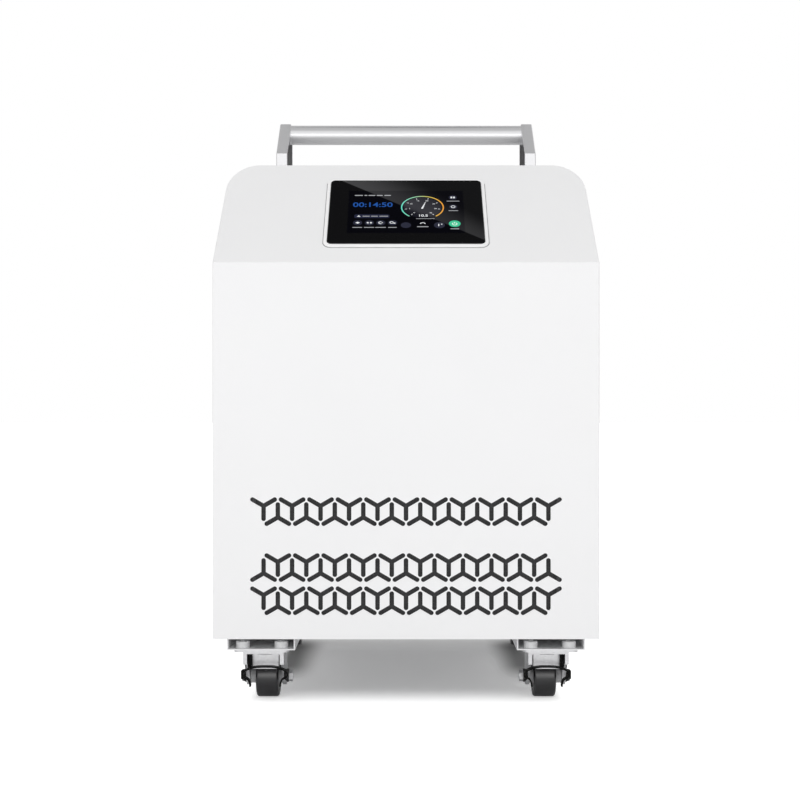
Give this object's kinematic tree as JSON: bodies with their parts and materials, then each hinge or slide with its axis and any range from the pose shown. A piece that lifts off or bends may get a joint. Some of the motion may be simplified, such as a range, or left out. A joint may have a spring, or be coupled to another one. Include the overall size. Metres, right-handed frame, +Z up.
{
  "type": "ice bath chiller",
  "caption": "Wheeled cabinet that cools and filters bath water, with a sloped touch screen, slotted front, carrying bar, rear fan, hose spigots and braked casters.",
  "frame": {"origin": "on the floor, in the middle of the machine's outline", "axes": "+Z up; the screen and the slotted panel face -Y; +X is to the right seen from the front"},
  "size_m": [0.445, 0.53, 0.7275],
  "materials": {
    "white_paint": "semi-gloss powder coat",
    "galvanised": "zinc-plated sheet",
    "zinc": "bright zinc plate",
    "satin_aluminium": "satin anodised",
    "white_plastic": "fine satin",
    "screen_glass": "polished black cover glass",
    "black_plastic": "fine grain",
    "board": "solder mask",
    "filter_mesh": "woven mesh",
    "black_enamel": "gloss enamel",
    "copper": "bare copper",
    "fin_aluminium": "mill finish",
    "barrel": "moulded",
    "clear_canister": "moulded",
    "paper": "pleated",
    "hose": "soft hose",
    "port_metal": "nickel-plated",
    "lever_red": "moulded",
    "rubber": "moulded",
    "tyre": "smooth tread",
    "hub": "moulded",
    "pedal": "black"
  },
  "bodies": {
    "cabinet": {"base_pan": "galvanised", "frame_posts": "galvanised", "support_rails": "white_paint", "front_panel": "white_paint", "dust_filter": "filter_mesh", "side_panel_left": "white_paint", "side_panel_right": "white_paint", "rear_panel": "white_paint", "hood": "white_paint", "screws": "zinc", "handle_bracket_left": "satin_aluminium", "handle_bracket_right": "satin_aluminium", "handle_tube": "satin_aluminium", "screen_bezel": "white_plastic", "screen_glass": "screen_glass", "display_module": "black_plastic", "control_board": "board", "compressor": "black_enamel", "compressor_mounts": "rubber", "condenser": "fin_aluminium", "filter_drier": "copper", "refrigerant_pipes": "copper", "heat_exchanger": "barrel", "fan_frame": "black_plastic", "fan_motor": "black_enamel", "fan_guard": "zinc", "water_pump": "black_plastic", "filter_housing": "clear_canister", "filter_cartridge": "paper", "water_inlet": "port_metal", "water_outlet": "port_metal", "water_hoses": "hose", "drain_valve": "port_metal", "power_inlet": "black_plastic", "switch_frame": "black_plastic", "caster_plates": "zinc", "caster_fasteners": "white_paint"},
    "fork_fl": {"fork_fl": "zinc", "axle_fl": "zinc"},
    "wheel_fl": {"wheel_fl": "hub", "tyre_fl": "tyre"},
    "pedal_fl": {"brake_pedal_fl": "pedal"},
    "fork_fr": {"fork_fr": "zinc", "axle_fr": "zinc"},
    "wheel_fr": {"wheel_fr": "hub", "tyre_fr": "tyre"},
    "pedal_fr": {"brake_pedal_fr": "pedal"},
    "fork_rl": {"fork_rl": "zinc", "axle_rl": "zinc"},
    "wheel_rl": {"wheel_rl": "hub", "tyre_rl": "tyre"},
    "fork_rr": {"fork_rr": "zinc", "axle_rr": "zinc"},
    "wheel_rr": {"wheel_rr": "hub", "tyre_rr": "tyre"},
    "fan": {"fan_rotor": "black_plastic"},
    "impeller": {"pump_impeller": "white_plastic"},
    "filter_cap": {"filter_cap": "black_plastic"},
    "drain_lever": {"drain_lever": "lever_red"},
    "rocker": {"rocker_switch": "black_plastic"}
  },
  "joints": [
    {"name": "swivel_fl", "type": "hinge", "parent": "cabinet", "child": "fork_fl", "pos_m": [-0.1685, -0.198, 0.06], "axis": [0, 0, 1], "continuous": true},
    {"name": "roll_fl", "type": "hinge", "parent": "fork_fl", "child": "wheel_fl", "pos_m": [-0.1685, -0.173, 0.025], "axis": [1, 0, 0], "continuous": true},
    {"name": "brake_fl", "type": "hinge", "parent": "fork_fl", "child": "pedal_fl", "pos_m": [-0.1685, -0.173, 0.025], "axis": [1, 0, 0], "range_deg": [0, 18]},
    {"name": "swivel_fr", "type": "hinge", "parent": "cabinet", "child": "fork_fr", "pos_m": [0.1685, -0.198, 0.06], "axis": [0, 0, 1], "continuous": true},
    {"name": "roll_fr", "type": "hinge", "parent": "fork_fr", "child": "wheel_fr", "pos_m": [0.1685, -0.173, 0.025], "axis": [1, 0, 0], "continuous": true},
    {"name": "brake_fr", "type": "hinge", "parent": "fork_fr", "child": "pedal_fr", "pos_m": [0.1685, -0.173, 0.025], "axis": [1, 0, 0], "range_deg": [0, 18]},
    {"name": "swivel_rl", "type": "hinge", "parent": "cabinet", "child": "fork_rl", "pos_m": [-0.1685, 0.168, 0.06], "axis": [0, 0, 1], "continuous": true},
    {"name": "roll_rl", "type": "hinge", "parent": "fork_rl", "child": "wheel_rl", "pos_m": [-0.1685, 0.193, 0.025], "axis": [1, 0, 0], "continuous": true},
    {"name": "swivel_rr", "type": "hinge", "parent": "cabinet", "child": "fork_rr", "pos_m": [0.1685, 0.168, 0.06], "axis": [0, 0, 1], "continuous": true},
    {"name": "roll_rr", "type": "hinge", "parent": "fork_rr", "child": "wheel_rr", "pos_m": [0.1685, 0.193, 0.025], "axis": [1, 0, 0], "continuous": true},
    {"name": "fan_spin", "type": "hinge", "parent": "cabinet", "child": "fan", "pos_m": [0.085, 0.223, 0.384], "axis": [0, 1, 0], "continuous": true},
    {"name": "impeller_spin", "type": "hinge", "parent": "cabinet", "child": "impeller", "pos_m": [-0.125, 0.0735, 0.19], "axis": [0, 0, 1], "continuous": true},
    {"name": "filter_cap_turn", "type": "hinge", "parent": "cabinet", "child": "filter_cap", "pos_m": [-0.125, 0.243, 0.42], "axis": [0, 1, 0], "range_deg": [0, 90]},
    {"name": "drain_lever_turn", "type": "hinge", "parent": "cabinet", "child": "drain_lever", "pos_m": [-0.02, 0.2485, 0.148], "axis": [0, 0, 1], "range_deg": [0, 90]},
    {"name": "rocker_tilt", "type": "hinge", "parent": "cabinet", "child": "rocker", "pos_m": [0.16, 0.234, 0.196], "axis": [1, 0, 0], "range_deg": [0, 18]}
  ]
}
